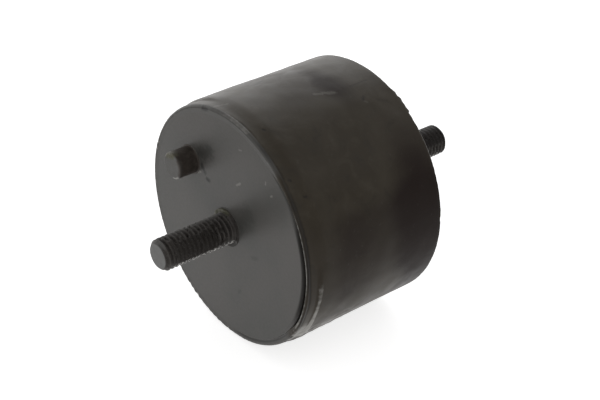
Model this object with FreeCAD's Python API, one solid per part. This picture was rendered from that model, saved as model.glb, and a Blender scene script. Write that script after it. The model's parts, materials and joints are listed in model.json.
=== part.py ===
"""Round rubber engine mount: a rubber drum bonded between two steel discs.

Each disc carries a headed stud, and the front disc also carries a round
locating peg. The mount lies on its side, as it comes to rest: its axis runs
along Y, the front stud points along -Y and +Z is up. The origin is the
centre of the front disc's outer face. All sizes are in millimetres.
"""

import FreeCAD, Part
import math
import os

V = FreeCAD.Vector
ORIGIN = V(0, 0, 0)
AXIS = V(0, 1, 0)
UP = V(0, 0, 1)

# Rubber drum
DRUM_R = 39.0
DRUM_LENGTH = 51.5  # from the front disc's outer face to the rear disc's

# Steel discs, bonded into the drum's ends with their outer faces bare
DISC_R = 36.6
DISC_T = 3.0
DISC_EDGE_ROUND = 0.6  # on the outer edge, where the blank was punched

# Moulded rubber edge round each disc
SEAM_WIDTH = 0.7  # open joint between the disc's edge and the lip
SEAM_DEPTH = 1.2
LIP_PROUD = 0.15  # how far the lip stands out past the disc's face
LIP_ROUND = 0.4

# Collar and step near the front, where the mould's end plate met its barrel
COLLAR_WIDTH = 1.1  # radial wall of the collar outside the seam
COLLAR_DEPTH = 3.4  # from the disc's face back to the step
STEP_SLOPE = 1.4  # length of the slope from the collar up to the barrel
STEP_ROUND = 0.8
REAR_EDGE_ROUND = 1.0

# Studs, at the thread's outer diameter
STUD_R = 5.0
STUD_CHAMFER = 1.1
FRONT_STUD_LENGTH = 25.0  # from the disc's face to the tip
REAR_STUD_LENGTH = 36.0
SHOULDER_R = 6.2  # pressed through the disc
SHOULDER_PROUD = 0.6
SHOULDER_ROUND = 0.3
HEAD_R = 11.0
HEAD_T = 3.5
HEAD_ROUND = 0.8

# Locating peg, pressed through the front disc from behind
PEG_R = 4.3
PEG_LENGTH = 6.8
PEG_END_ROUND = 0.4
PEG_SHOULDER_R = 4.8  # pressed through the disc, flush with its face
PEG_HEAD_R = 6.5
PEG_HEAD_T = 2.0
PEG_HEAD_ROUND = 0.5
PEG_OFFSET = 23.6  # from the stud's axis to the peg's
PEG_CLOCK = 47.8  # degrees from straight up, to the left seen from the front


def rounded_profile(corners):
    """Closed face in the half plane X >= 0, from (radius, y, rounding) corners."""
    points = [V(r, y, 0) for r, y, _ in corners]
    count = len(points)
    starts = []
    ends = []
    arcs = []
    for i, (_, _, rounding) in enumerate(corners):
        here = points[i]
        if rounding == 0:
            starts.append(here)
            ends.append(here)
            arcs.append(None)
            continue
        back = (points[i - 1] - here).normalize()
        ahead = (points[(i + 1) % count] - here).normalize()
        half = back.getAngle(ahead) / 2
        inward = (back + ahead).normalize()
        centre = here + inward * (rounding / math.sin(half))
        first = here + back * (rounding / math.tan(half))
        last = here + ahead * (rounding / math.tan(half))
        starts.append(first)
        ends.append(last)
        arcs.append(Part.Arc(first, centre - inward * rounding, last).toShape())
    edges = []
    for i in range(count):
        if arcs[i] is not None:
            edges.append(arcs[i])
        edges.append(Part.LineSegment(ends[i], starts[(i + 1) % count]).toShape())
    return Part.Face(Part.Wire(edges))


def turned(corners):
    """Solid of revolution about the mount's axis."""
    return rounded_profile(corners).revolve(ORIGIN, AXIS, 360)


def at_rear(shape):
    """The same shape turned round to the mount's rear end."""
    turn = FreeCAD.Placement(V(0, DRUM_LENGTH, 0), FreeCAD.Rotation(UP, 180))
    copy = shape.copy()
    copy.transformShape(turn.toMatrix())
    return copy


def disc_blank():
    """Front disc before its holes are made."""
    return turned([
        (0, 0, 0),
        (DISC_R, 0, DISC_EDGE_ROUND),
        (DISC_R, DISC_T, 0),
        (0, DISC_T, 0),
    ])


def stud(length):
    """Stud for the front end: its head bears on the disc's back."""
    tip_r = STUD_R - STUD_CHAMFER
    return turned([
        (0, -length, 0),
        (tip_r, -length, 0),
        (STUD_R, STUD_CHAMFER - length, 0),
        (STUD_R, -SHOULDER_PROUD, 0),
        (SHOULDER_R, -SHOULDER_PROUD, SHOULDER_ROUND),
        (SHOULDER_R, DISC_T, 0),
        (HEAD_R, DISC_T, 0),
        (HEAD_R, DISC_T + HEAD_T, HEAD_ROUND),
        (0, DISC_T + HEAD_T, 0),
    ])


def peg():
    """Headed peg through the front disc: its head bears on the disc's back."""
    shape = turned([
        (0, -PEG_LENGTH, 0),
        (PEG_R, -PEG_LENGTH, PEG_END_ROUND),
        (PEG_R, 0, 0),
        (PEG_SHOULDER_R, 0, 0),
        (PEG_SHOULDER_R, DISC_T, 0),
        (PEG_HEAD_R, DISC_T, 0),
        (PEG_HEAD_R, DISC_T + PEG_HEAD_T, PEG_HEAD_ROUND),
        (0, DISC_T + PEG_HEAD_T, 0),
    ])
    clock = math.radians(PEG_CLOCK)
    shape.translate(V(-math.sin(clock), 0, math.cos(clock)) * PEG_OFFSET)
    return shape


def drum(bedded):
    """Rubber moulded round the discs' edges and the bedded heads."""
    lip_in = DISC_R + SEAM_WIDTH
    collar_r = lip_in + COLLAR_WIDTH
    front = [
        (0, DISC_T, 0),
        (DISC_R, DISC_T, 0),
        (DISC_R, SEAM_DEPTH, 0),
        (lip_in, SEAM_DEPTH, 0),
        (lip_in, -LIP_PROUD, LIP_ROUND),
    ]
    rear = [(r, DRUM_LENGTH - y, rounding) for r, y, rounding in reversed(front)]
    side = [
        (collar_r, -LIP_PROUD, LIP_ROUND),
        (collar_r, COLLAR_DEPTH, STEP_ROUND),
        (DRUM_R, COLLAR_DEPTH + STEP_SLOPE, STEP_ROUND),
        (DRUM_R, DRUM_LENGTH + LIP_PROUD, REAR_EDGE_ROUND),
    ]
    return turned(front + side + rear).cut(bedded)


def build():
    front_stud = stud(FRONT_STUD_LENGTH)
    rear_stud = at_rear(stud(REAR_STUD_LENGTH))
    locating_peg = peg()
    return {
        "rubber_drum": drum([front_stud, rear_stud, locating_peg]),
        "front_disc": disc_blank().cut([front_stud, locating_peg]),
        "rear_disc": at_rear(disc_blank()).cut(rear_stud),
        "front_stud": front_stud,
        "rear_stud": rear_stud,
        "locating_peg": locating_peg,
    }


os.makedirs("parts", exist_ok=True)
for name, shape in build().items():
    print(name, len(shape.Solids), "solid,", round(shape.Volume), "mm3, valid", shape.isValid())
    shape.exportStep(f"parts/{name}.step")
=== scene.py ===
"""Looks of the round rubber engine mount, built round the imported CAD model.

The mount's axis runs along Y with the front stud towards -Y, and it lies on
its side on a pale floor. Sizes with no unit in their name are in millimetres
and are turned into metres where a mesh is made. An angle round the axis is
counted from straight up towards +X, in degrees.
"""

import json
import math

import bpy
import numpy as np
from mathutils import Matrix, Vector


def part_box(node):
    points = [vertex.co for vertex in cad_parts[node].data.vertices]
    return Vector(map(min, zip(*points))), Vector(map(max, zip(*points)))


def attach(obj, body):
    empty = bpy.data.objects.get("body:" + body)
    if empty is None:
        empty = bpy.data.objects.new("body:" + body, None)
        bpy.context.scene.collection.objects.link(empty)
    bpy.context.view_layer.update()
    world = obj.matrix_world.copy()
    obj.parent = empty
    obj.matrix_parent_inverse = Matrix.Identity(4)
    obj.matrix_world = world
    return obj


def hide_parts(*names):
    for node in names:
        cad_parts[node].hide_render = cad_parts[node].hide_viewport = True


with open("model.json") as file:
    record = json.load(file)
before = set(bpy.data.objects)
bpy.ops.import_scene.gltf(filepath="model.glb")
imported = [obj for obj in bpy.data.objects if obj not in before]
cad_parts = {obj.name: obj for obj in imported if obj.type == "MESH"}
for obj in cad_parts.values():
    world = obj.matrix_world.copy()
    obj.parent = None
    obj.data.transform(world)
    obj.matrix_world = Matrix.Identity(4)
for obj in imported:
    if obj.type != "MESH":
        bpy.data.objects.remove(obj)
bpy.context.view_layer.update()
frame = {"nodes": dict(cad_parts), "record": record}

MM = 0.001
SEED = 7
FIELD_WAVES = 20  # waves added up in a field of random values

# Places read from the frame
MOUNTS = {mount["name"]: mount for mount in frame["record"]["mounts"]}
LENGTH = MOUNTS["rear_face"]["pos_m"][1] / MM
DRUM_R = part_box("rubber_drum")[1][2] / MM
DISC_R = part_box("front_disc")[1][2] / MM
DISC_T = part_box("front_disc")[1][1] / MM
STUD_R = MOUNTS["front_stud"]["dims"]["r_mm"]
FRONT_STUD_LENGTH = -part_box("front_stud")[0][1] / MM
REAR_STUD_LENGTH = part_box("rear_stud")[1][1] / MM - LENGTH
HEAD_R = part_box("front_stud")[1][2] / MM
HEAD_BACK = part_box("front_stud")[1][1] / MM
PEG_X = MOUNTS["locating_peg"]["pos_m"][0] / MM
PEG_Z = MOUNTS["locating_peg"]["pos_m"][2] / MM
PEG_R = MOUNTS["locating_peg"]["dims"]["r_mm"]
PEG_LENGTH = -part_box("locating_peg")[0][1] / MM
PEG_HEAD_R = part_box("locating_peg")[1][0] / MM - PEG_X
PEG_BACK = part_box("locating_peg")[1][1] / MM

# Rubber edges, as in the part's source
SEAM_WIDTH = 0.7
SEAM_DEPTH = 1.2
LIP_PROUD = 0.15
LIP_ROUND = 0.4
COLLAR_WIDTH = 1.1
COLLAR_DEPTH = 3.4
STEP_SLOPE = 1.4
REAR_EDGE_ROUND = 1.0
LIP_IN = DISC_R + SEAM_WIDTH
COLLAR_R = LIP_IN + COLLAR_WIDTH
LIP_Y = LIP_ROUND - LIP_PROUD
REAR_EDGE_Y = LENGTH + LIP_PROUD - REAR_EDGE_ROUND
FILLED_ROUND = 0.9  # outer edge of the lip where flash fills the seam
FLASH_LAP = 0.6  # how far that flash reaches in over the disc's face
FLASH_EDGE = 0.005  # its thickness at its thin inner edge
FLASH_PROUD = 0.05  # how far it stands out past the disc's face

# Pockets in the rubber for the discs and the studs' heads, as (radius, y) points
FRONT_POCKET = [(HEAD_R, HEAD_BACK), (HEAD_R, DISC_T), (DISC_R, DISC_T)]
REAR_POCKET = [(r, LENGTH - y) for r, y in reversed(FRONT_POCKET)]

# Rubber mesh: rings round the axis, dense at the step and coarser on the barrel
RUBBER_SEGMENTS = 640
STEP_ROWS = 32
STEP_END = 8.0
BARREL_ROWS = 60

# Studs, as in the part's source, and their thread
STUD_CHAMFER = 1.1
SHOULDER_R = 6.2
SHOULDER_PROUD = 0.6
SHOULDER_ROUND = 0.3
BORE_Y = 0.5  # how far down in the disc's bore the shoulder's even rows begin
HEAD_ROUND = 0.8
TIP_R = STUD_R - STUD_CHAMFER
TIP_ROWS = 2  # rings on the flat tip
PITCH = 1.5
THREAD_DEPTH = 0.92  # from crest to root
CREST_SHARE = 0.13  # flat part of a pitch at the crest
ROOT_SHARE = 0.22  # flat part at the root
STUD_SEGMENTS = 128
ROWS_A_PITCH = 20

# Peg, as in the part's source
PEG_END_ROUND = 0.4
PEG_SHOULDER_R = 4.8
PEG_HEAD_ROUND = 0.5
PEG_FOOT = 0.5  # from the disc's face to where the even rows begin
PEG_EDGE = PEG_LENGTH - PEG_END_ROUND
PEG_SEGMENTS = 96

# Camera, at the photograph's viewing angle
CAMERA_AZIMUTH = 50.665  # degrees
CAMERA_ELEVATION = 31.217
CAMERA_DISTANCE = 436.4
CAMERA_LENS = 84.62  # focal length
CAMERA_ASIDE = 2.05  # how far to the right of the drum's middle the camera aims
CAMERA_RAISED = -0.28

# Lights: to the right, behind and above as seen from the camera, and power in watts
LIGHTS = {
    "back_left_light": (-1.0, 1.0, 0.2, 2.0),
    "back_light": (0.0, 1.0, 0.3, 1.6),
    "high_back_light": (0.0, 1.0, 1.0, 1.7),
    "high_right_light": (1.0, 0.0, 1.0, 0.9),
    "front_light": (-0.8, -0.6, 0.3, 0.8),
}
LIGHT_SIZE = 0.8  # metres

# Glow of the surroundings: as a light, and as the camera and reflections see it
WORLD_GLOW = (0.38, 1.0)
FLOOR_GLOW = (0.40, 0.76)
FLOOR_COLOUR = (0.8, 0.8, 0.8, 1)
FLOOR_HALF = 2500
FLOOR_GAP = 0.1  # clear of the drum's wavy skin

# Colours in linear light: each surface's two plain tones, then what lies on it and the light and shade
# painted on it
RUBBER_TONES = ((0.0280, 0.0216, 0.0133), (0.0375, 0.0302, 0.0202))
RUBBER_LIGHT_SMEAR = (0.052, 0.044, 0.032)
RUBBER_DARK_SMEAR = (0.017, 0.0135, 0.009)
RUBBER_BLOOM_AND_LIGHT = (0.080, 0.071, 0.060)
RUBBER_SHADE_AND_DARK = (0.0150, 0.0098, 0.0080)
RUBBER_PAINT = (0.069, 0.066, 0.061)
RUBBER_WORN_AND_HIGHLIGHT = (0.300, 0.290, 0.270)
RUBBER_CREVICE_AND_SHADE = (0.006, 0.005, 0.005)
RUBBER_LIGHT_MARK = (0.13, 0.122, 0.108)
RUBBER_DARK_MARK = (0.005, 0.004, 0.004)
DISC_TONES = ((0.067, 0.066, 0.061), (0.080, 0.075, 0.070))
DISC_UPPER_SHADE = (0.046, 0.040, 0.035)
DISC_SPECK = (0.130, 0.127, 0.121)
DISC_EDGE_SHADE = (0.010, 0.009, 0.008)
DISC_LIGHT_MARK = (0.22, 0.21, 0.19)
DISC_DARK_MARK = (0.006, 0.006, 0.005)
STUD_TONES = ((0.042, 0.037, 0.033), (0.062, 0.056, 0.051))
STUD_CREST = (0.100, 0.095, 0.088)
STUD_CLOG_AND_SHADE = (0.013, 0.011, 0.010)
STUD_GLINT = (0.42, 0.41, 0.39)
STUD_BURR = (0.085, 0.083, 0.058)
STUD_TIP = (0.140, 0.139, 0.135)
PEG_TONES = ((0.036, 0.029, 0.024), (0.056, 0.046, 0.039))
PEG_END = (0.085, 0.082, 0.077)
PEG_OLIVE_AND_LIGHT = (0.078, 0.074, 0.048)
PEG_WORN_AND_HIGHLIGHT = (0.26, 0.255, 0.235)

# Raggedness of the marks: the size of its grain, and its share of a mark's half width
MARK_GRAIN = 1.3
MARK_RAGGED = 2.0

# Marks on the front disc: from x, z to x, z, half width and strength, which is below 0 in a dark one;
# the last two are painted shadows
DISC_MARKS = [
    (5.6, 17.2, 7.4, 18.6, 0.45, 0.55),
    (21.7, 20.8, 22.2, 21.2, 0.40, 0.60),
    (19.3, 23.7, 19.4, 24.4, 0.35, 0.45),
    (16.2, 35.0, 17.2, 34.8, 0.40, 0.50),
    (7.2, 29.6, 8.4, 29.9, 0.30, 0.30),
    (23.0, 31.2, 23.8, 30.8, 0.35, 0.35),
    (-13.8, 12.9, -13.3, 13.2, 0.50, 0.70),
    (-12.9, 13.6, -12.5, 13.7, 0.40, 0.90),
    (-8.8, 12.6, -8.4, 12.6, 0.90, -1.00),
    (-11.6, 16.3, -10.2, 14.4, 0.95, -0.75),
    (12.6, -4.6, 14.6, -3.8, 0.80, -0.25),
    (5.4, -20.6, 6.0, -20.0, 0.70, -0.25),
    # Painted shadows: to the upper right of the peg, and to the right of the front stud's base
    (-11.8, 20.2, -7.6, 22.8, 2.60, -0.52),
    (6.5, 4.5, 11.0, 9.5, 3.20, -0.25),
]

# Marks on the drum's side: from angle, y to angle, y, half width and strength
SIDE_MARKS = [
    (10.4, 28.0, 11.6, 30.6, 0.55, 0.40),
    (11.6, 30.6, 13.8, 33.9, 0.75, 0.50),
    (18.6, 4.8, 19.2, 5.0, 0.45, -0.80),
    (52.8, 4.4, 53.2, 5.0, 0.45, -0.70),
    (44.2, 2.4, 44.6, 2.8, 0.45, -0.60),
    (13.8, 40.0, 13.6, 46.5, 0.40, -0.35),
    (24.0, 40.0, 25.0, 40.5, 0.45, 0.25),
    (21.8, 40.8, 23.2, 39.9, 0.55, -0.60),
    (-16.0, 22.0, -14.0, 19.4, 0.80, -0.50),
    (128.0, 0.1, 129.6, 1.0, 0.70, -0.95),
    (-15.5, -0.1, -12.0, -0.1, 0.75, -0.70),
    (-8.6, 1.4, -5.8, 4.2, 0.60, 0.35),
]


def smooth(value, low, high):
    """0 at low, 1 at high and a smooth rise or fall between."""
    t = np.clip((value - low) / (high - low), 0, 1)
    return t * t * (3 - 2 * t)


def within(value, low, high, soft):
    """1 between low and high, fading out over soft beyond each."""
    return smooth(value, low - soft, low) * smooth(value, high + soft, high)


def degrees_of(turn):
    """Angle in degrees from straight up towards +X, between -180 and 180."""
    return (np.degrees(turn) + 180) % 360 - 180


def field(turn, along, radius, size, rng):
    """Smooth random values on a turned surface, mostly -1.5 to 1.5, with features of about size."""
    total = np.zeros_like(turn)
    for _ in range(FIELD_WAVES):
        heading = rng.uniform(0, 2 * math.pi)
        order = round(2 * math.pi * radius / size * math.cos(heading))
        pace = 2 * math.pi / size * math.sin(heading)
        total += np.cos(order * turn + pace * along + rng.uniform(0, 2 * math.pi))
    return total / math.sqrt(FIELD_WAVES)


def arc(centre_r, centre_y, radius, start, end, steps):
    """Points of an arc in the (radius, y) plane; angles in degrees from +radius towards +y."""
    angles = np.radians(np.linspace(start, end, steps + 1))
    return [(centre_r + radius * math.cos(a), centre_y + radius * math.sin(a)) for a in angles]


def divided(start, end, steps):
    """Points after start up to end, evenly spaced."""
    share = np.linspace(0, 1, steps + 1)[1:]
    return [(start[0] + (end[0] - start[0]) * s, start[1] + (end[1] - start[1]) * s) for s in share]


def crisp(corners, hold=0.04):
    """Outline whose inner corners are cut by a hair, so that smooth shading keeps them as edges."""
    points = [corners[0]]
    for before, here, after in zip(corners, corners[1:], corners[2:]):
        for other in (before, after):
            share = hold / math.dist(here, other)
            r = here[0] + (other[0] - here[0]) * share
            y = here[1] + (other[1] - here[1]) * share
            points.append((r, y))
    return points + [corners[-1]]


def around(profile, segments):
    """Radius, place along Y and angle grids for an outline of (radius, y) points."""
    angle = np.linspace(0, 2 * math.pi, segments, endpoint=False)
    radius, turn = np.meshgrid([r for r, y in profile], angle, indexing="ij")
    along = np.repeat([[float(y)] for r, y in profile], segments, axis=1)
    return radius, along, turn


def make_object(name, points, faces, material):
    """Smooth mesh object from points in millimetres."""
    mesh = bpy.data.meshes.new(name)
    mesh.from_pydata((np.asarray(points) * MM).tolist(), [], faces)
    mesh.materials.append(material)
    mesh.polygons.foreach_set("use_smooth", [True] * len(mesh.polygons))
    mesh.update()
    obj = bpy.data.objects.new(name, mesh)
    bpy.context.scene.collection.objects.link(obj)
    return obj


def turned(name, radius, along, turn, material, masks, centre=(0, 0)):
    """Closed body from grids of rings about an axis along Y, with flat ends at the first and last ring.

    masks holds named grids of values that the material reads.
    """
    if along[-1].mean() < along[0].mean():
        radius, along, turn = radius[::-1], along[::-1], turn[::-1]
        masks = {key: grid[::-1] for key, grid in masks.items()}
    rows, segments = radius.shape
    x = centre[0] + radius * np.sin(turn)
    z = centre[1] + radius * np.cos(turn)
    points = np.stack([x, along, z], -1).reshape(-1, 3)
    ends = [(centre[0], along[0].mean(), centre[1]), (centre[0], along[-1].mean(), centre[1])]
    points = np.vstack([points, ends])
    first, last = len(points) - 2, len(points) - 1
    after = np.roll(np.arange(segments), -1)
    faces = []
    for row in range(rows - 1):
        low = row * segments
        high = low + segments
        faces += [(low + j, low + k, high + k, high + j) for j, k in enumerate(after)]
    top = (rows - 1) * segments
    faces += [(first, k, j) for j, k in enumerate(after)]
    faces += [(last, top + j, top + k) for j, k in enumerate(after)]
    obj = make_object(name, points, faces, material)
    for key, grid in masks.items():
        layer = obj.data.attributes.new(key, "FLOAT", "POINT")
        values = np.append(grid.ravel(), [grid[0].mean(), grid[-1].mean()])
        layer.data.foreach_set("value", values.astype(np.float32))
    return obj


class Shader:
    """Short way to write a material's nodes."""

    def __init__(self, name):
        self.material = bpy.data.materials.new(name)
        self.material.use_nodes = True
        self.tree = self.material.node_tree
        self.tree.nodes.clear()
        self.surface = self.node("ShaderNodeBsdfPrincipled")
        output = self.node("ShaderNodeOutputMaterial")
        self.tree.links.new(self.surface.outputs["BSDF"], output.inputs["Surface"])
        self.place = self.node("ShaderNodeTexCoord").outputs["Object"]

    def node(self, kind, **settings):
        """New node of a kind, with its settings."""
        made = self.tree.nodes.new(kind)
        for key, value in settings.items():
            setattr(made, key, value)
        return made

    def feed(self, socket, value):
        """Links a node's output to a socket, or sets the socket's own value."""
        if isinstance(value, bpy.types.NodeSocket):
            self.tree.links.new(value, socket)
        else:
            socket.default_value = value

    def set(self, name, value):
        """Feeds one of the surface's sockets."""
        self.feed(self.surface.inputs[name], value)

    def noise(self, size, detail=4.0, rough=0.55, warp=0.0):
        """Noise whose features are about size millimetres across, 0 to 1."""
        made = self.node("ShaderNodeTexNoise")
        self.feed(made.inputs["Vector"], self.place)
        made.inputs["Scale"].default_value = 1 / (size * MM)
        made.inputs["Detail"].default_value = detail
        made.inputs["Roughness"].default_value = rough
        made.inputs["Distortion"].default_value = warp
        return made.outputs["Fac"]

    def math(self, kind, a, b=0.0):
        """Result of a sum or the like on a and b."""
        made = self.node("ShaderNodeMath", operation=kind)
        self.feed(made.inputs[0], a)
        self.feed(made.inputs[1], b)
        return made.outputs["Value"]

    def vector(self, kind, a, b, output="Vector"):
        """Result of a vector sum or the like on a and b."""
        made = self.node("ShaderNodeVectorMath", operation=kind)
        self.feed(made.inputs[0], a)
        self.feed(made.inputs[1], b)
        return made.outputs[output]

    def ramp(self, value, low, high, out_low=0.0, out_high=1.0):
        """value from low..high to out_low..out_high, smooth and held at its ends."""
        made = self.node("ShaderNodeMapRange", interpolation_type="SMOOTHSTEP")
        self.feed(made.inputs["Value"], value)
        made.inputs["From Min"].default_value = low
        made.inputs["From Max"].default_value = high
        made.inputs["To Min"].default_value = out_low
        made.inputs["To Max"].default_value = out_high
        return made.outputs["Result"]

    def mask(self, name):
        """Values of the named mask that turned wrote on the mesh."""
        return self.node("ShaderNodeAttribute", attribute_name=name).outputs["Fac"]

    def patchy(self, name, noise, depth):
        """A mask made uneven by a noise, most where it is about half."""
        uneven = self.math("MULTIPLY", self.math("SUBTRACT", noise, 0.5), depth)
        return self.ramp(self.math("ADD", self.mask(name), uneven), 0.06, 0.94)

    def mix(self, share, a, b):
        """Colour a turning to b as share goes from 0 to 1."""
        made = self.node("ShaderNodeMix", data_type="RGBA")
        self.feed(made.inputs["Factor"], share)
        colours = [socket for socket in made.inputs if socket.type == "RGBA"]
        for socket, value in zip(colours, (a, b)):
            self.feed(socket, value if isinstance(value, bpy.types.NodeSocket) else (*value, 1))
        return [socket for socket in made.outputs if socket.type == "RGBA"][0]

    def bump(self, height, depth):
        """Sets the surface's normal from a height of 0 to 1 that stands for depth millimetres."""
        made = self.node("ShaderNodeBump")
        made.inputs["Distance"].default_value = depth * MM
        self.feed(made.inputs["Height"], height)
        self.set("Normal", made.outputs["Normal"])

    def streak(self, start, end, half_width, ragged):
        """1 on the line from start to end, in millimetres, fading out ragged at half_width."""
        start, end = Vector(start) * MM, Vector(end) * MM
        line = end - start
        away = self.vector("SUBTRACT", self.place, tuple(start))
        reach = self.vector("DOT_PRODUCT", away, tuple(line), "Value")
        share = self.math("DIVIDE", reach, line.length_squared)
        share = self.math("MINIMUM", self.math("MAXIMUM", share, 0.0), 1.0)
        nearest = self.node("ShaderNodeVectorMath", operation="SCALE")
        nearest.inputs[0].default_value = tuple(line)
        self.feed(nearest.inputs["Scale"], share)
        gap = self.vector("DISTANCE", away, nearest.outputs["Vector"], "Value")
        gap = self.math("ADD", gap, self.math("MULTIPLY", ragged, half_width * MM))
        return self.ramp(gap, 1.4 * half_width * MM, 0.2 * half_width * MM)

    def marks(self, places):
        """Light and dark masks from (start, end, half width, strength) marks."""
        grain = self.math("SUBTRACT", self.noise(MARK_GRAIN, 3), 0.5)
        ragged = self.math("MULTIPLY", grain, MARK_RAGGED)
        masks = {True: 0.0, False: 0.0}
        for start, end, half_width, strength in places:
            one = self.math("MULTIPLY", self.streak(start, end, half_width, ragged), abs(strength))
            masks[strength > 0] = self.math("MAXIMUM", one, masks[strength > 0])
        return masks[True], masks[False]


def on_drum(angle, along):
    """Point on the drum's side, on its collar before the step, or on the lip where along is below 0."""
    radius = DRUM_R if along > COLLAR_DEPTH else COLLAR_R
    if along < 0:
        radius = LIP_IN
    turn = math.radians(angle)
    return (radius * math.sin(turn), along, radius * math.cos(turn))


def rubber_material():
    """Matt rubber, cloudy and smeared, with its bloom and painted light, painted shade and darker
    patches, paint, wear and painted highlights, a dark seam with painted shade, and marks.
    """
    shade = Shader("moulded_rubber")
    cloud = shade.noise(15, 3, 0.5, 0.5)
    smear = shade.noise(5, 3, 0.5, 0.6)
    fine = shade.noise(1.2, 3, 0.5)
    places = []
    for angle, y, end_angle, end_y, half_width, strength in SIDE_MARKS:
        places.append((on_drum(angle, y), on_drum(end_angle, end_y), half_width, strength))
    light, dark = shade.marks(places)
    colour = shade.mix(shade.ramp(cloud, 0.33, 0.67), *RUBBER_TONES)
    colour = shade.mix(shade.ramp(smear, 0.48, 0.76, 0, 0.45), colour, RUBBER_LIGHT_SMEAR)
    colour = shade.mix(shade.ramp(smear, 0.46, 0.24, 0, 0.50), colour, RUBBER_DARK_SMEAR)
    # Grey bloom with painted light and reflection on the drum's side
    colour = shade.mix(shade.patchy("bloom_and_light", smear, 0.5), colour, RUBBER_BLOOM_AND_LIGHT)
    # Painted shade and darker patches on the drum's side
    colour = shade.mix(shade.patchy("dark", smear, 0.5), colour, RUBBER_SHADE_AND_DARK)
    colour = shade.mix(shade.mask("paint"), colour, RUBBER_PAINT)
    # Wear, with painted highlights on the rim, the step and the lower edge
    colour = shade.mix(shade.patchy("wear_and_highlight", fine, 0.6), colour, RUBBER_WORN_AND_HIGHLIGHT)
    # Dark seam, nicks and hairline, with painted shade in the groove and on the collar's edge
    colour = shade.mix(shade.mask("crevice_and_shade"), colour, RUBBER_CREVICE_AND_SHADE)
    colour = shade.mix(light, colour, RUBBER_LIGHT_MARK)
    colour = shade.mix(dark, colour, RUBBER_DARK_MARK)
    shade.set("Base Color", colour)
    shade.set("Roughness", shade.ramp(smear, 0.25, 0.75, 0.34, 0.44))
    bare_gloss = shade.ramp(shade.mask("dark"), 0, 1, 0.14, 0.06)
    paint_gloss = shade.math("MULTIPLY", shade.mask("paint"), 0.07)
    shade.set("Specular IOR Level", shade.math("ADD", bare_gloss, paint_gloss))
    shade.bump(shade.math("SUBTRACT", smear, shade.math("MULTIPLY", dark, 0.8)), 0.05)
    return shade.material


def disc_edge_shade(shade):
    """Mask of the painted shade along the front disc's edge, at the right."""
    rim = shade.vector("DISTANCE", shade.place, (0, 0, 0), "Value")
    side = shade.vector("DISTANCE", shade.place, (DISC_R * MM, 0, 0), "Value")
    at_rim = shade.ramp(rim, (DISC_R - 1.8) * MM, (DISC_R - 0.7) * MM)
    at_side = shade.ramp(side, 24 * MM, 10 * MM)
    return shade.math("MULTIPLY", at_rim, at_side)


def disc_material():
    """Dull grey coated steel, darker towards the top as painted shade, with its marks, painted shadows
    and painted shade along its edge at the right.
    """
    shade = Shader("disc_steel")
    cloud = shade.noise(20, 3, 0.5, 0.3)
    fine = shade.noise(1.0, 4, 0.6)
    places = []
    for x, z, end_x, end_z, half_width, strength in DISC_MARKS:
        places.append(((x, 0, z), (end_x, 0, end_z), half_width, strength))
    light, dark = shade.marks(places)
    split = shade.node("ShaderNodeSeparateXYZ")
    shade.feed(split.inputs[0], shade.place)
    # Painted shade: darker towards the top
    upper = shade.ramp(split.outputs["Z"], 14 * MM, 34 * MM, 0, 0.35)
    edge_shade = disc_edge_shade(shade)
    colour = shade.mix(shade.ramp(cloud, 0.3, 0.7), *DISC_TONES)
    colour = shade.mix(upper, colour, DISC_UPPER_SHADE)
    colour = shade.mix(shade.ramp(fine, 0.60, 0.85, 0, 0.25), colour, DISC_SPECK)
    # Painted shade along the disc's edge at the right
    colour = shade.mix(shade.math("MULTIPLY", edge_shade, 0.85), colour, DISC_EDGE_SHADE)
    colour = shade.mix(light, colour, DISC_LIGHT_MARK)
    # Dark marks, with the painted shadows of the peg and the stud
    colour = shade.mix(dark, colour, DISC_DARK_MARK)
    shade.set("Base Color", colour)
    shade.set("Roughness", shade.ramp(fine, 0.3, 0.7, 0.34, 0.46))
    shade.set("Specular IOR Level", shade.ramp(edge_shade, 0, 1, 0.21, 0.04))
    shade.bump(shade.math("ADD", fine, light), 0.015)
    return shade.material


def stud_material():
    """Dark phosphated steel, its thread clogged with dirt and darkened as painted shade, with painted
    glints on its lower crests.
    """
    shade = Shader("stud_steel")
    dirt = shade.noise(1.8, 4, 0.6, 0.5)
    fine = shade.noise(0.4, 3, 0.6)
    colour = shade.mix(shade.ramp(dirt, 0.35, 0.7), *STUD_TONES)
    colour = shade.mix(shade.patchy("crest", dirt, 1.0), colour, STUD_CREST)
    # Dirt and painted shade in the clogged thread
    colour = shade.mix(shade.mask("clog_and_shade"), colour, STUD_CLOG_AND_SHADE)
    # Painted glints on the lower crests
    colour = shade.mix(shade.patchy("glint_or_off_foot", fine, 1.2), colour, STUD_GLINT)
    colour = shade.mix(shade.patchy("burr", fine, 0.8), colour, STUD_BURR)
    colour = shade.mix(shade.mask("tip"), colour, STUD_TIP)
    shade.set("Base Color", colour)
    shade.set("Roughness", shade.ramp(dirt, 0.3, 0.75, 0.42, 0.60))
    shade.set("Specular IOR Level", shade.ramp(shade.mask("clog_and_shade"), 0, 1, 0.18, 0.06))
    shade.bump(fine, 0.03)
    return shade.material


def peg_material():
    """Dark brownish steel, with a paler end, an olive stain, painted light on its upper side, and bare
    spots and painted highlights.
    """
    shade = Shader("peg_steel")
    dirt = shade.noise(2.2, 4, 0.6, 0.5)
    fine = shade.noise(0.5, 3, 0.6)
    colour = shade.mix(shade.ramp(dirt, 0.35, 0.7), *PEG_TONES)
    colour = shade.mix(shade.mask("end"), colour, PEG_END)
    colour = shade.mix(shade.patchy("olive_and_light", dirt, 0.8), colour, PEG_OLIVE_AND_LIGHT)
    colour = shade.mix(shade.patchy("wear_and_highlight", fine, 0.7), colour, PEG_WORN_AND_HIGHLIGHT)
    shade.set("Base Color", colour)
    shade.set("Roughness", shade.ramp(dirt, 0.3, 0.75, 0.42, 0.60))
    shade.set("Specular IOR Level", 0.18)
    shade.bump(fine, 0.03)
    return shade.material


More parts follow.
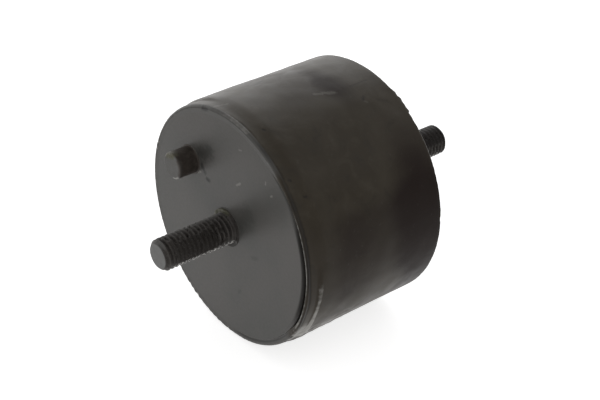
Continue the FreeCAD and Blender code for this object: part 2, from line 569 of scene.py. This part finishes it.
def front_rim(seam_open):
    """Outline from the disc's edge over the lip to the collar, the seam open or filled with flash."""
    if seam_open:
        points = [(DISC_R, SEAM_DEPTH), (LIP_IN, SEAM_DEPTH)]
        points += divided((LIP_IN, SEAM_DEPTH), (LIP_IN, LIP_Y), 3)
        points += arc(LIP_IN + LIP_ROUND, LIP_Y, LIP_ROUND, 180, 270, 5)[1:]
        return points + arc(COLLAR_R - LIP_ROUND, LIP_Y, LIP_ROUND, 270, 360, 5)
    inner = DISC_R - FLASH_LAP
    outer = COLLAR_R - FILLED_ROUND
    points = [(inner - 0.1, 0.1), (inner, -FLASH_EDGE), (inner + 0.04, -0.001 - FLASH_EDGE)]
    points += divided(points[-1], (outer, -FLASH_PROUD), 7)
    return points + arc(outer, FILLED_ROUND - FLASH_PROUD, FILLED_ROUND, 270, 360, 5)


def rear_rim():
    """Outline from the rounded rear edge over the lip into the seam at the rear disc's edge."""
    points = arc(DRUM_R - REAR_EDGE_ROUND, REAR_EDGE_Y, REAR_EDGE_ROUND, 0, 90, 8)
    points += arc(LIP_IN + LIP_ROUND, LENGTH - LIP_Y, LIP_ROUND, 90, 180, 5)
    points += divided((LIP_IN, LENGTH - LIP_Y), (LIP_IN, LENGTH - SEAM_DEPTH), 3)
    return points + [(DISC_R, LENGTH - SEAM_DEPTH)]


def seam_opening(degrees):
    """1 where the seam round the front disc is open, on the right, and 0 where flash fills it."""
    return smooth(degrees, 33, 62) * (0.2 + 0.8 * smooth(degrees, 128, 110)) * smooth(degrees, 177, 168)


def low_left(degrees):
    """1 at the drum's lower left and 0 elsewhere."""
    return smooth(degrees, -112, -128)


def painted_over(degrees):
    """1 along the bottom right of the front edge, where paint covers the seam."""
    return within(degrees, 132, 172, 8)


def side_radius(degrees, along):
    """Radius of collar, slope and barrel, with the slope worn long from the top to the lower right."""
    worn = within(degrees, -8, 80, 14)
    short = smooth(along, COLLAR_DEPTH - 0.2, COLLAR_DEPTH + STEP_SLOPE + 0.2)
    long = smooth(along, COLLAR_DEPTH - 1.6, COLLAR_DEPTH + STEP_SLOPE + 2.2)
    return COLLAR_R + (DRUM_R - COLLAR_R) * (short + worn * (long - short))


def blob(degrees, along, angle, y, wide, deep, soft=0.5):
    """1 in an oval patch of the drum's side round (angle, y), fading out over its rim."""
    reach = np.hypot((degrees - angle) / wide, (along - y) / deep)
    return 1 - smooth(reach, 1 - soft, 1 + soft)


def bloom_and_light_mask(degrees, along, wobble):
    """Lighter patches on the drum's side, grey bloom and painted light: a bounded patch at the top rear,
    partly a painted reflection, painted light towards the top front, and faint clouds.
    """
    edge = 37.6 + 1.1 * np.hypot(1, (degrees + 2) / 7) + 0.7 * wobble
    patch = smooth(along, edge - 0.6, edge + 0.9) * smooth(degrees + 0.9 * wobble, 14.6, 12.2)
    patch = patch * smooth(degrees, -45, -25)
    beside = blob(degrees, along, 27, 46.5, 15, 4.5) * smooth(degrees, 13.2, 14.8)
    # Painted light: lighter towards the top front
    front = smooth(along, 24, 6) * within(degrees, -40, 10, 50)
    middle = blob(degrees, along, 106, 29, 12, 4.5, 0.7)
    low = blob(degrees, along, 129, 12.5, 8, 5, 0.6)
    return np.clip(0.24 * patch + 0.25 * beside + 0.20 * front + 0.35 * middle + 0.6 * low, 0, 1)


def shade_and_dark_mask(degrees, along):
    """Darker patches on the drum's side, partly painted shade: darker towards the rear and on the side
    turned away from the light.
    """
    # Painted shade: darker towards the rear
    rear = blob(degrees, along, 74, 45.0, 30, 9.0, 0.9)
    low_rear = blob(degrees, along, 116, 50.0, 24, 11.0, 0.8)
    middle = blob(degrees, along, 84, 17.5, 13, 6.0, 1.0)
    corner = blob(degrees, along, 10, 36.0, 15, 5.0, 0.7)
    low_front = blob(degrees, along, 112, 15.0, 9, 8.0, 0.8)
    upper = within(degrees, -40, 8, 14) * within(along, 20, 34, 7)
    # Painted shade on the side turned away from the light
    lower = within(degrees, 72, 101, 13) * (0.7 + 0.3 * within(along, 14, 38, 6))
    total = 0.85 * rear + 0.85 * low_rear + 0.15 * middle + 0.5 * corner + 0.35 * upper
    total += 0.46 * lower + 0.3 * low_front
    return np.clip(total, 0, 1)


def rubber_grids():
    """Radius, y and angle grids of the rubber, how open its seam is, and its rows on the rim and side.

    The rows on the rim include those of the pocket in front of it.
    """
    grids = []
    for seam_open in (True, False):
        rim = front_rim(seam_open)
        side = divided((DRUM_R, rim[-1][1]), (DRUM_R, STEP_END), STEP_ROWS)
        side += divided((DRUM_R, STEP_END), (DRUM_R, REAR_EDGE_Y), BARREL_ROWS)[:-1]
        outline = FRONT_POCKET + rim + side + rear_rim() + REAR_POCKET
        grids.append(around(outline, RUBBER_SEGMENTS))
    (open_r, open_y, turn), (filled_r, filled_y, turn) = grids
    degrees = degrees_of(turn)
    row = np.arange(len(turn))[:, None] - len(FRONT_POCKET)
    on_rim = row < len(rim)
    on_side = (row >= len(rim)) & (row < len(rim) + len(side))
    seam = seam_opening(degrees)
    radius = filled_r + seam * (open_r - filled_r)
    along = filled_y + seam * (open_y - filled_y)
    radius = np.where(on_side, side_radius(degrees, along), radius)
    return radius, along, turn, seam, on_rim, on_side


def rim_wear_and_highlight(degrees, radius, along, on_rim, lip, coarse, ragged):
    """Light wear and painted highlights in front: on the lip's crest at the right, specks on the lip,
    and the collar's edge, painted lighter at the left and the top.
    """
    off_crest = np.abs(radius - LIP_IN - 0.35 + 0.08 * ragged)
    # The lip's crest at the right, worn and painted lighter as a highlight
    crest = lip * smooth(off_crest, 0.50, 0.15) * smooth(along, 0.3, 0.0)
    wear_and_highlight = crest * within(degrees, 66, 117, 12) * np.clip(0.42 + 0.2 * coarse + 0.25 * ragged, 0.05, 1)
    wear_and_highlight += lip * low_left(degrees) * smooth(ragged, 0.8, 1.5) * smooth(along, 0.3, 0.05)
    # Painted light on the collar's edge at the left
    left_edge = on_rim * smooth(radius, COLLAR_R - 1.6, COLLAR_R - 0.7) * within(degrees, -150, -40, 25)
    wear_and_highlight += 0.17 * left_edge * (1 + 0.4 * ragged)
    specks = smooth(ragged, 0.9, 1.5) * smooth(along, 0.5, 0.1)
    wear_and_highlight += 0.45 * lip * within(degrees, -135, -45, 15) * specks
    # Painted highlight on the collar's edge at the top
    top_edge = on_rim * smooth(radius, COLLAR_R - 1.0, COLLAR_R - 0.5)
    return wear_and_highlight + 0.35 * top_edge * within(degrees, 2, 15, 6)


def side_wear_and_highlight(degrees, radius, along, on_side, coarse, ragged):
    """Wear and painted light behind the rim: a painted highlight on the slope, a blotch, painted light
    along the drum's lower edge, and a line.
    """
    # Painted highlight on the step's slope at the lower right
    width = 0.15 + 0.30 * smooth(degrees, 104, 96) + 0.15 * smooth(degrees, 110, 122)
    band = on_side * smooth(np.abs(along - 4.5 + 0.12 * coarse), width + 0.6, width)
    band = band * within(degrees, 96, 128, 5) * (0.45 + 0.5 * smooth(degrees, 98, 112))
    collar_edge = smooth(radius, COLLAR_R - 0.5, COLLAR_R - 0.1)
    low_along = along + 0.5 * ragged
    blotch = collar_edge * blob(degrees + 2 * coarse, low_along, 127, 2.6, 8, 3.2, 0.6)
    # Painted light along the drum's lower edge
    low_edge = 0.30 * blob(degrees + 3 * coarse, along + ragged, 133, 19, 9, 10, 0.9)
    low_edge += 0.25 * blob(degrees + 2 * coarse, low_along, 131, 11, 9, 4.5, 0.9)
    top_line = within(along, 4.3, 4.6, 0.5) * within(degrees, -50, -22, 12)
    wear_and_highlight = band * (0.85 + 0.25 * ragged) + 0.75 * blotch
    return wear_and_highlight + on_side * (low_edge + 0.3 * top_line * (1 + coarse))


def crevice_and_shade_mask(degrees, radius, along, seam, groove, on_rim, lip, coarse, ragged):
    """Dark in the open seam and the lip's nicks, painted shadow in the groove behind the lip, painted
    shade on the collar's edge, and a dark hairline below.
    """
    crevice_and_shade = on_rim * smooth(along, 0.2, 0.9) * seam
    # Painted shadow in the groove behind the lip
    crevice_and_shade += (0.45 + 0.3 * smooth(degrees, 50, 75)) * groove
    # Painted shade on the collar's edge at the right
    corner = on_rim * smooth(radius, COLLAR_R - 0.6, COLLAR_R - 0.25) * within(degrees, 30, 112, 14)
    crevice_and_shade += corner * np.clip(0.45 + 0.25 * coarse, 0, 0.8)
    crevice_and_shade += 0.6 * lip * within(degrees, -160, -20, 15) * smooth(-ragged, 1.0, 1.6)
    hairline = smooth(np.abs(radius - DISC_R - 0.25), 0.4, 0.15)
    return np.clip(crevice_and_shade + 0.6 * on_rim * painted_over(degrees) * hairline, 0, 1)


def uneven_side(degrees, radius, along, turn, side, groove, rng):
    """Radius with the groove behind the lip, the side's slight waves and a nick at the lower right."""
    radius = radius - 0.10 * groove + side * 0.05 * field(turn, along, DRUM_R, 22, rng)
    radius = radius + side * 0.02 * field(turn, along, DRUM_R, 7, rng)
    rough = within(degrees, 124, 136, 5) * within(along, 0.5, 22, 4)
    radius = radius + side * rough * 0.07 * field(turn, along, DRUM_R, 3.5, rng)
    return radius - side * 0.5 * blob(degrees, along, 128.8, 0.5, 1.2, 0.9)


def rear_flash(degrees, radius, along, turn, ragged, rng):
    """How far flash stands out past the rear edge: a ragged line, a flap near the top, and nicks."""
    flap = within(degrees, 22.8, 36.0, 0.5)
    nicks = smooth(field(turn, 0, DRUM_R, 5, rng), 0.9, 1.6)
    flash = (0.05 + 0.05 * flap) * ragged + 0.42 * flap - 0.30 * nicks
    at_edge = smooth(along, LENGTH - 0.7, LENGTH) * smooth(radius, DRUM_R - 1.3, DRUM_R - 0.9)
    return flash * at_edge


def rubber_body(material):
    """The moulded rubber, with its uneven skin, flash and wear, and its painted light and shade, in
    place of the plain solid.
    """
    rng = np.random.default_rng(SEED)
    radius, along, turn, seam, on_rim, on_side = rubber_grids()
    degrees = degrees_of(turn)
    coarse = field(turn, 0, DRUM_R, 14, rng)
    ragged = field(turn, 0, DRUM_R, 2.2, rng)
    lip = on_rim * smooth(radius, DISC_R + 0.3, DISC_R + 0.8)
    wear_and_highlight = rim_wear_and_highlight(degrees, radius, along, on_rim, lip, coarse, ragged)
    along = along + lip * (0.03 * coarse + (0.015 + 0.06 * low_left(degrees)) * ragged)
    wear_and_highlight += side_wear_and_highlight(degrees, radius, along, on_side, coarse, ragged)
    groove = on_side * smooth(np.abs(along - 0.75 + 0.15 * coarse + 0.08 * ragged), 0.6, 0.15)
    groove = groove * within(degrees, 6, 114, 12)
    crevice_and_shade = crevice_and_shade_mask(degrees, radius, along, seam, groove, on_rim, lip, coarse, ragged)
    side = smooth(radius, COLLAR_R - 0.3, COLLAR_R)
    radius = uneven_side(degrees, radius, along, turn, side, groove, rng)
    along = along + rear_flash(degrees, radius, along, turn, ragged, rng)
    painted = np.maximum(1 - smooth(seam, 0, 0.3), painted_over(degrees))
    # Masks: bloom with painted light, painted shade with darker patches, the lip's paint, wear with
    # painted highlights, and the dark seam with painted shade
    masks = {
        "bloom_and_light": side * bloom_and_light_mask(degrees, along, field(turn, along, DRUM_R, 6, rng)),
        "dark": side * shade_and_dark_mask(degrees, along),
        "paint": on_rim * painted * smooth(along, 1.1, 0.5),
        "wear_and_highlight": np.clip(wear_and_highlight, 0, 1),
        "crevice_and_shade": crevice_and_shade,
    }
    piece = turned("rubber_body", radius, along, turn, material, masks)
    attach(piece, "root")
    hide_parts("rubber_drum")


def stud_profile(length, thread_rows):
    """Outline of a headed stud from its head's back to its tip, as (radius, distance out) points."""
    ring_y = SHOULDER_PROUD - SHOULDER_ROUND
    profile = arc(HEAD_R - HEAD_ROUND, HEAD_ROUND - HEAD_BACK, HEAD_ROUND, 270, 360, 4)
    shoulder = [(HEAD_R, -DISC_T), (SHOULDER_R, -DISC_T), (SHOULDER_R, -BORE_Y)]
    profile += crisp([profile[-1]] + shoulder)[1:]
    profile += divided((SHOULDER_R, -BORE_Y), (SHOULDER_R, ring_y), 6)
    profile += arc(SHOULDER_R - SHOULDER_ROUND, ring_y, SHOULDER_ROUND, 0, 90, 5)[1:]
    profile += divided(profile[-1], (STUD_R + 0.05, SHOULDER_PROUD), 3)
    profile += divided((STUD_R, SHOULDER_PROUD), (STUD_R, length), thread_rows)
    return profile + [(TIP_R - 0.1, length), (TIP_R - 0.4, length)]


def clog_and_shade_mask(degrees, out, clog, towards):
    """Thread clogged with dirt and darkened as painted shade: a patch on the front stud, and the upper
    side of the rear one.
    """
    if towards < 0:
        return within(degrees, 38 + 8 * clog, 118, 20) * within(out, 7.0 + 1.5 * clog, 20.5, 3.0)
    return within(degrees, -100, 68, 20) * np.ones_like(out)


def thread_groove(turn, out, towards, clog, clog_and_shade):
    """Depth of the right-hand thread below its crests, less where it is clogged."""
    phase = (out / PITCH - towards * turn / (2 * math.pi)) % 1
    flank = 1 - np.abs(phase - 0.5) * 2
    groove = np.clip((flank - CREST_SHARE) / (1 - CREST_SHARE - ROOT_SHARE), 0, 1)
    groove = groove * THREAD_DEPTH * (0.85 + 0.12 * clog) * (1 - 0.92 * clog_and_shade)
    return groove * smooth(out, SHOULDER_PROUD, SHOULDER_PROUD + 1.2)


def threaded_stud(name, node, length, material, towards):
    """Headed stud, its thread clogged and dented, with a burr on its shoulder, painted shade on its dark
    side and painted glints on its lower crests.

    towards is -1 for the front end and 1 for the rear.
    """
    rng = np.random.default_rng(SEED + towards)
    face = 0.0 if towards < 0 else LENGTH
    thread_rows = int(round((length - SHOULDER_PROUD) / PITCH * ROWS_A_PITCH))
    profile = stud_profile(length, thread_rows)
    radius, out, turn = around(profile, STUD_SEGMENTS)
    degrees = degrees_of(turn)
    row = np.arange(len(turn))[:, None]
    first_row = len(profile) - TIP_ROWS - thread_rows
    threaded = (row >= first_row) & (row < first_row + thread_rows)

    clog = field(turn, out, STUD_R, 3.5, rng)
    clog_and_shade = clog_and_shade_mask(degrees, out, clog, towards)
    groove = thread_groove(turn, out, towards, clog, clog_and_shade)
    upper = within(degrees, -60, 20, 30)
    dents = (0.22 + 0.20 * upper) * smooth(field(turn, out, STUD_R, 1.3, rng), 1.2, 1.8)
    cone = TIP_R + length - out
    radius = np.where(threaded, np.minimum(STUD_R - groove - dents, cone), radius)

    burr_side = within(degrees, -80, 5, 25)
    ring = (row < first_row) * smooth(out, -0.1, 0.1)
    height = 0.35 + 0.75 * burr_side + 0.18 * field(turn, 0, SHOULDER_R, 2.5, rng)
    out = np.where(ring > 0, out * (1 + ring * (np.clip(height, 0.15, 1.3) - 1)), out)

    crest = threaded * smooth(groove, 0.35, 0.05) * smooth(length - out, 0.9, 1.6)
    lower = within(degrees, 118, 150, 8)
    # Darker where clogged and in the thread's roots
    dirt = np.maximum((0.6 if towards < 0 else 0.95) * clog_and_shade, 0.35 * smooth(groove, 0.1, 0.45))
    worn_cone = 0.45 * smooth(out, length - 1.4, length - 1.0) * upper
    masks = {
        "crest": crest * (0.20 + 0.12 * upper) * (1 - clog_and_shade),
        # Painted glints on the crests along the lower side
        "glint_or_off_foot": crest * lower * smooth(field(turn, out, STUD_R, 1.2, rng), -0.6, 0.5),
        # The shoulder's ring is darkened as painted shade away from the burr
        "clog_and_shade": np.clip(dirt * threaded + 0.5 * ring * (1 - burr_side), 0, 1),
        "burr": 0.8 * ring * burr_side,
        "tip": np.maximum(smooth(out, length - 0.10, length - 0.02), worn_cone),
    }
    piece = turned(name, radius, face + towards * out, turn, material, masks)
    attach(piece, "root")
    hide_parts(node)


def peg_profile():
    """Outline of the headed peg from its head's back to its end, as (radius, distance out) points."""
    profile = arc(PEG_HEAD_R - PEG_HEAD_ROUND, PEG_HEAD_ROUND - PEG_BACK, PEG_HEAD_ROUND, 270, 360, 4)
    shoulder = [(PEG_HEAD_R, -DISC_T), (PEG_SHOULDER_R, -DISC_T), (PEG_SHOULDER_R, 0)]
    shoulder += [(PEG_R, 0), (PEG_R, PEG_FOOT)]
    profile += crisp([profile[-1]] + shoulder)[1:]
    profile += divided((PEG_R, PEG_FOOT), (PEG_R, PEG_EDGE), 16)
    profile += arc(PEG_R - PEG_END_ROUND, PEG_EDGE, PEG_END_ROUND, 0, 90, 6)[1:]
    return profile + divided((PEG_R - PEG_END_ROUND, PEG_LENGTH), (0.3, PEG_LENGTH), 10)


def peg_piece(material):
    """Headed peg with a chipped and stained end, painted highlights on its low edge and at its foot, and
    painted shade on its end's left edge.
    """
    rng = np.random.default_rng(SEED)
    radius, out, turn = around(peg_profile(), PEG_SEGMENTS)
    degrees = degrees_of(turn)
    # Share of the peg clear of its foot
    glint_or_off_foot = smooth(out, 0.2, 0.8)
    uneven = field(turn, out, PEG_R, 4.0, rng)
    at_end = smooth(out, PEG_EDGE + 0.05, PEG_LENGTH - 0.05)
    edge = smooth(radius, PEG_R - 0.9, PEG_R - 0.35) * smooth(out, PEG_EDGE - 0.1, PEG_EDGE + 0.25)
    low_chip = within(degrees, 136, 172, 10)
    high_chip = within(degrees, -58, -8, 14)
    radius = radius + glint_or_off_foot * 0.03 * uneven - edge * (0.10 * high_chip + 0.08 * low_chip)

    worn_line = glint_or_off_foot * (1 - at_end) * within(degrees, -40, -24, 8) * smooth(uneven, -0.2, 0.9)
    worn_edge = 0.35 * smooth(out, PEG_EDGE - 1.1, PEG_EDGE + 0.2) * within(degrees, 50, 135, 20)
    dirty_edge = at_end * smooth(radius, 2.9, 3.7) * within(degrees, 48, 118, 14)
    # Painted shade on the end's rounded left edge
    shaded_edge = edge * within(degrees, -165, -65, 15)
    end = at_end * (1 - 0.35 * shaded_edge) * (1 - 0.9 * dirty_edge)
    stain = within(degrees, -45, 8, 25) * smooth(radius, 1.4, 3.2)
    # Painted light on the upper side near the end
    lit_side = smooth(out, PEG_EDGE - 2.4, PEG_EDGE - 0.6) * within(degrees, -55, 18, 14)
    # Painted highlight along the rim at the peg's foot
    ring = smooth(radius, PEG_R + 0.05, PEG_R + 0.25) * smooth(np.abs(out), 0.15, 0.02)
    ring = ring * within(degrees, 12, 52, 14)
    # Chips, the low one also a painted highlight
    chips = edge * (0.8 * low_chip + 0.30 * high_chip)
    masks = {
        "end": np.maximum(end, worn_edge * (1 - at_end)),
        "olive_and_light": 0.8 * at_end * stain + 0.5 * (1 - at_end) * lit_side,
        "wear_and_highlight": np.clip(chips + 0.3 * worn_line + 0.42 * ring, 0, 1),
    }
    piece = turned("peg_detail", radius, -out, turn, material, masks, centre=(PEG_X, PEG_Z))
    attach(piece, "root")
    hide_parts("locating_peg")


def camera_axes():
    """The camera's right, up and back directions."""
    azimuth = math.radians(CAMERA_AZIMUTH)
    elevation = math.radians(CAMERA_ELEVATION)
    right = Vector((math.cos(azimuth), math.sin(azimuth), 0))
    level_back = Vector((math.sin(azimuth), -math.cos(azimuth), 0))
    back = level_back * math.cos(elevation) + Vector((0, 0, math.sin(elevation)))
    return right, back.cross(right), back


def make_camera():
    """Camera aimed at the drum's middle, shifted a little as in the photograph's framing."""
    right, up, back = camera_axes()
    aim = Vector((0, LENGTH / 2, 0)) + right * CAMERA_ASIDE + up * CAMERA_RAISED
    data = bpy.data.cameras.new("camera")
    data.lens = CAMERA_LENS
    camera = bpy.data.objects.new("camera", data)
    turn = Matrix((right, up, back)).transposed().to_4x4()
    camera.matrix_world = Matrix.Translation((aim + back * CAMERA_DISTANCE) * MM) @ turn
    bpy.context.scene.collection.objects.link(camera)
    bpy.context.scene.camera = camera


def soft_light(name, aside, behind, above, power):
    """Large square light a metre from the drum, in a direction given as seen from the camera."""
    right, up, back = camera_axes()
    level_back = Vector((back.x, back.y, 0)).normalized()
    away = (aside * right - behind * level_back + Vector((0, 0, above))).normalized()
    data = bpy.data.lights.new(name, "AREA")
    data.size = LIGHT_SIZE
    data.energy = power
    light = bpy.data.objects.new(name, data)
    light.location = Vector((0, LENGTH / 2 * MM, 0)) + away
    light.rotation_euler = away.to_track_quat("Z", "Y").to_euler()
    bpy.context.scene.collection.objects.link(light)


def glow_by_ray(nodes, links, kind, strengths):
    """Emitting shader with two strengths: as a light, and as the camera and reflections see it."""
    path = nodes.new("ShaderNodeLightPath")
    seen = path.outputs["Is Camera Ray"]
    for ray in ("Is Glossy Ray", "Is Transmission Ray"):
        either = nodes.new("ShaderNodeMath")
        either.operation = "MAXIMUM"
        links.new(seen, either.inputs[0])
        links.new(path.outputs[ray], either.inputs[1])
        seen = either.outputs["Value"]
    pair = []
    for strength in strengths:
        shader = nodes.new(kind)
        shader.inputs["Strength"].default_value = strength
        shader.inputs["Color"].default_value = (1, 1, 1, 1)
        pair.append(shader)
    mix = nodes.new("ShaderNodeMixShader")
    links.new(seen, mix.inputs["Fac"])
    links.new(pair[0].outputs[0], mix.inputs[1])
    links.new(pair[1].outputs[0], mix.inputs[2])
    return mix


def make_world():
    """White surroundings that light the mount softly."""
    world = bpy.data.worlds.new("studio")
    bpy.context.scene.world = world
    world.use_nodes = True
    nodes = world.node_tree.nodes
    links = world.node_tree.links
    nodes.clear()
    mix = glow_by_ray(nodes, links, "ShaderNodeBackground", WORLD_GLOW)
    output = nodes.new("ShaderNodeOutputWorld")
    links.new(mix.outputs[0], output.inputs["Surface"])


def make_floor():
    """Pale floor under the drum, white to the camera apart from the mount's soft shadow."""
    material = bpy.data.materials.new("floor")
    material.use_nodes = True
    nodes = material.node_tree.nodes
    links = material.node_tree.links
    nodes.clear()
    pale = nodes.new("ShaderNodeBsdfDiffuse")
    pale.inputs["Color"].default_value = FLOOR_COLOUR
    glow = glow_by_ray(nodes, links, "ShaderNodeEmission", FLOOR_GLOW)
    both = nodes.new("ShaderNodeAddShader")
    links.new(pale.outputs[0], both.inputs[0])
    links.new(glow.outputs[0], both.inputs[1])
    output = nodes.new("ShaderNodeOutputMaterial")
    links.new(both.outputs[0], output.inputs["Surface"])
    level = -DRUM_R - FLOOR_GAP
    corners = [(x * FLOOR_HALF, y * FLOOR_HALF, level) for x, y in ((-1, -1), (1, -1), (1, 1), (-1, 1))]
    make_object("floor", corners, [(0, 1, 2, 3)], material)


make_camera()
make_world()
make_floor()
for name, light in LIGHTS.items():
    soft_light(name, *light)

stud_steel = stud_material()
disc_steel = disc_material()
rubber_body(rubber_material())
threaded_stud("front_thread", "front_stud", FRONT_STUD_LENGTH, stud_steel, -1)
threaded_stud("rear_thread", "rear_stud", REAR_STUD_LENGTH, stud_steel, 1)
peg_piece(peg_material())
for name in ("front_disc", "rear_disc"):
    frame["nodes"][name].data.materials.clear()
    frame["nodes"][name].data.materials.append(disc_steel)

bpy.context.scene.view_settings.view_transform = "Standard"
